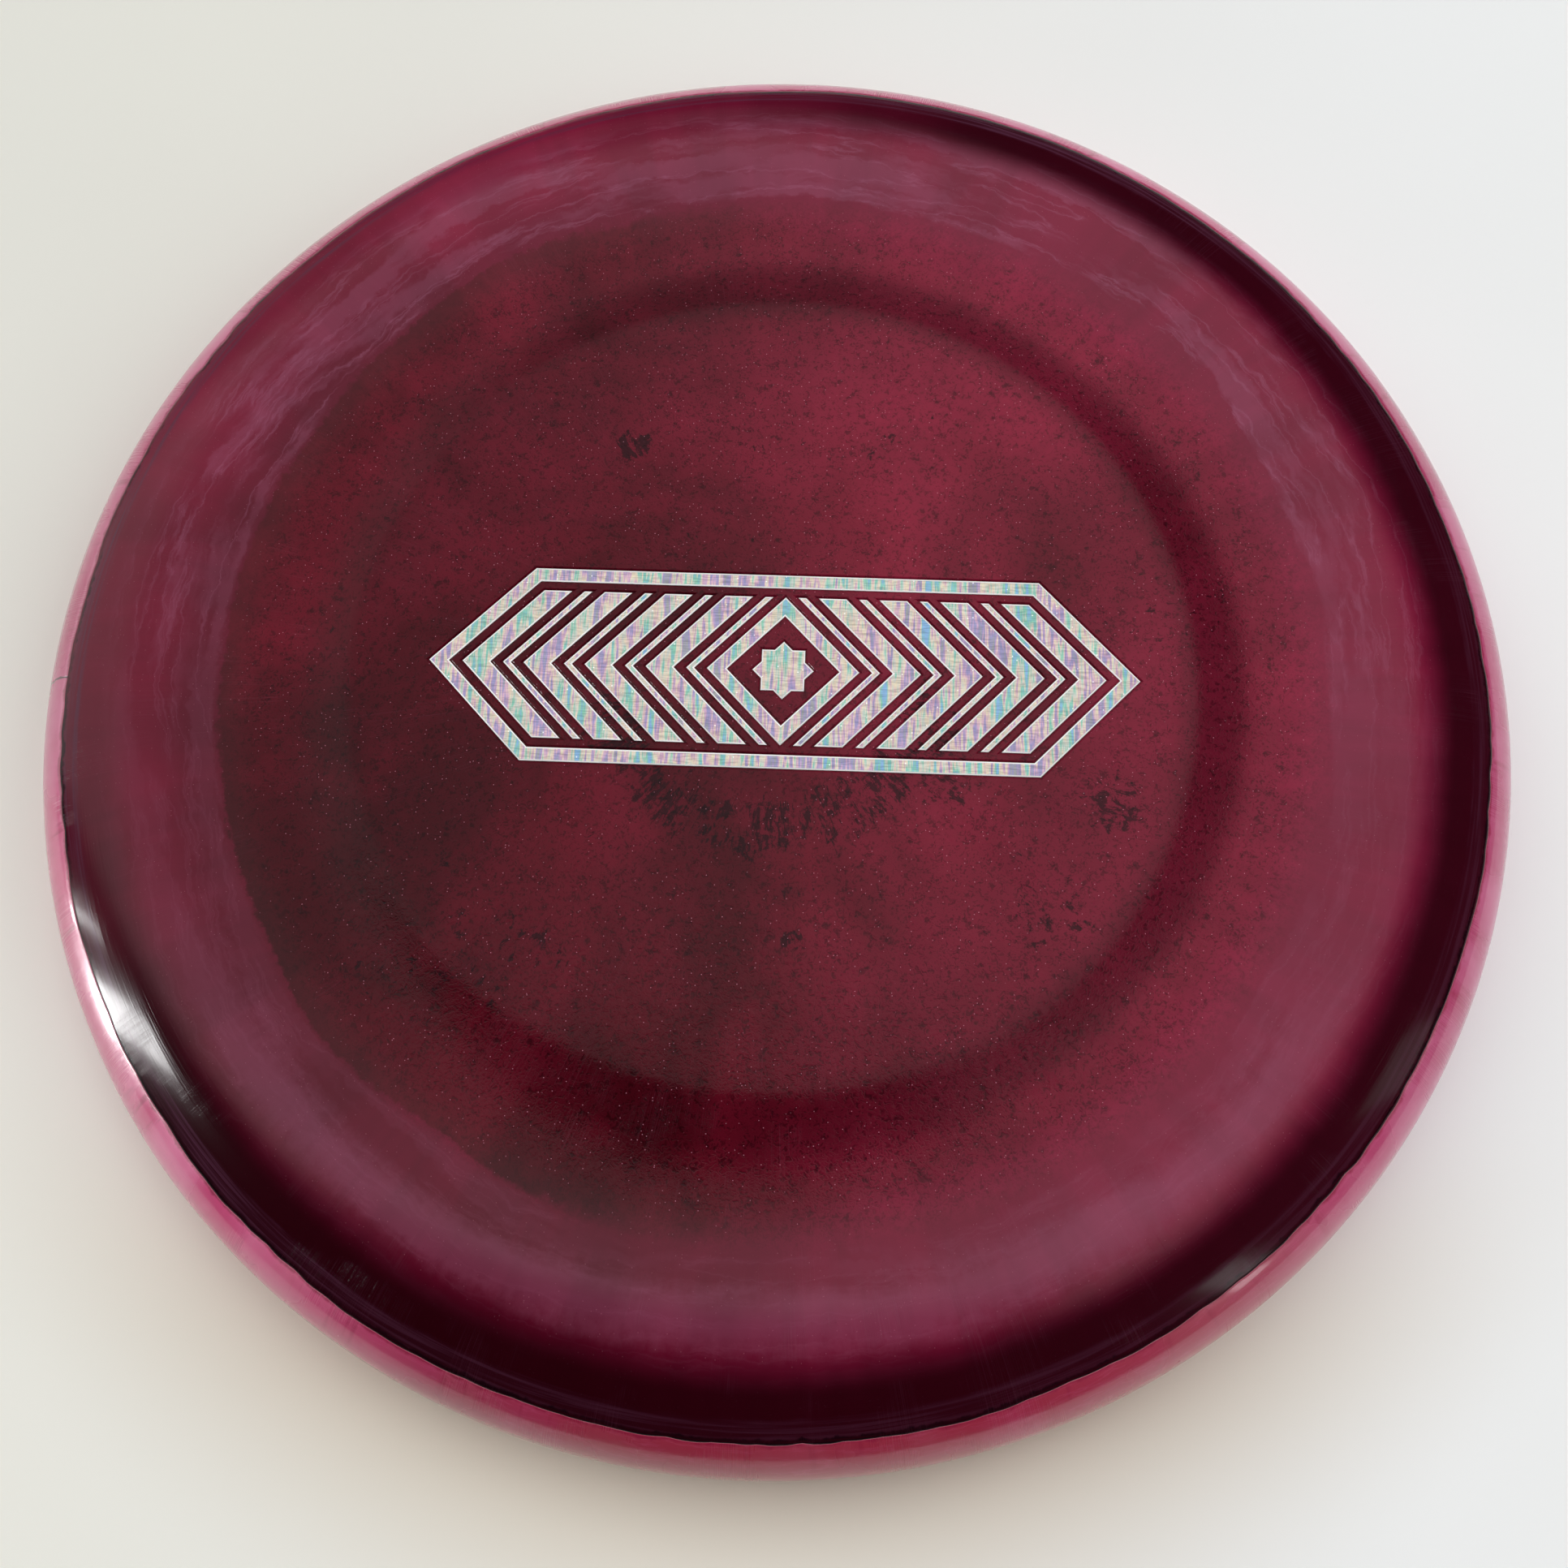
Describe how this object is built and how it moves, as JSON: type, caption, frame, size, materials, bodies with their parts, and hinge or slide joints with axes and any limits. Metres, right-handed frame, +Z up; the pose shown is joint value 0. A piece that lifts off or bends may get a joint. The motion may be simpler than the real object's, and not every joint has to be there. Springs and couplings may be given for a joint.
{
  "type": "golf disc",
  "caption": "Beaded putter golf disc with a grooved flight plate seated in a contrasting rim, a hollow underside and a geometric foil stamp.",
  "frame": {"origin": "on the ground plane at the centre of the rim's bottom face, which is the disc's spin axis", "axes": "+Z up along the spin axis towards the stamped face, +X along the length of the foil stamp, +Y towards the top of the stamp"},
  "size_m": [0.212, 0.212, 0.02],
  "materials": {
    "plate_plastic": "translucent maroon plastic, mottled, stippled in the middle and glossy at the shoulder",
    "rim_plastic": "pearly pink plastic, glossy, with faint darker streaks",
    "foil": "holographic silver hot-stamp foil with fine pastel streaks"
  },
  "bodies": {
    "root": {"flight_plate": "plate_plastic", "rim": "rim_plastic", "foil_border": "foil", "foil_lozenge": "foil", "foil_star": "foil", "foil_chevrons_left": "foil", "foil_chevrons_right": "foil", "foil_pinstripes_left": "foil", "foil_pinstripes_right": "foil"}
  },
  "joints": []
}
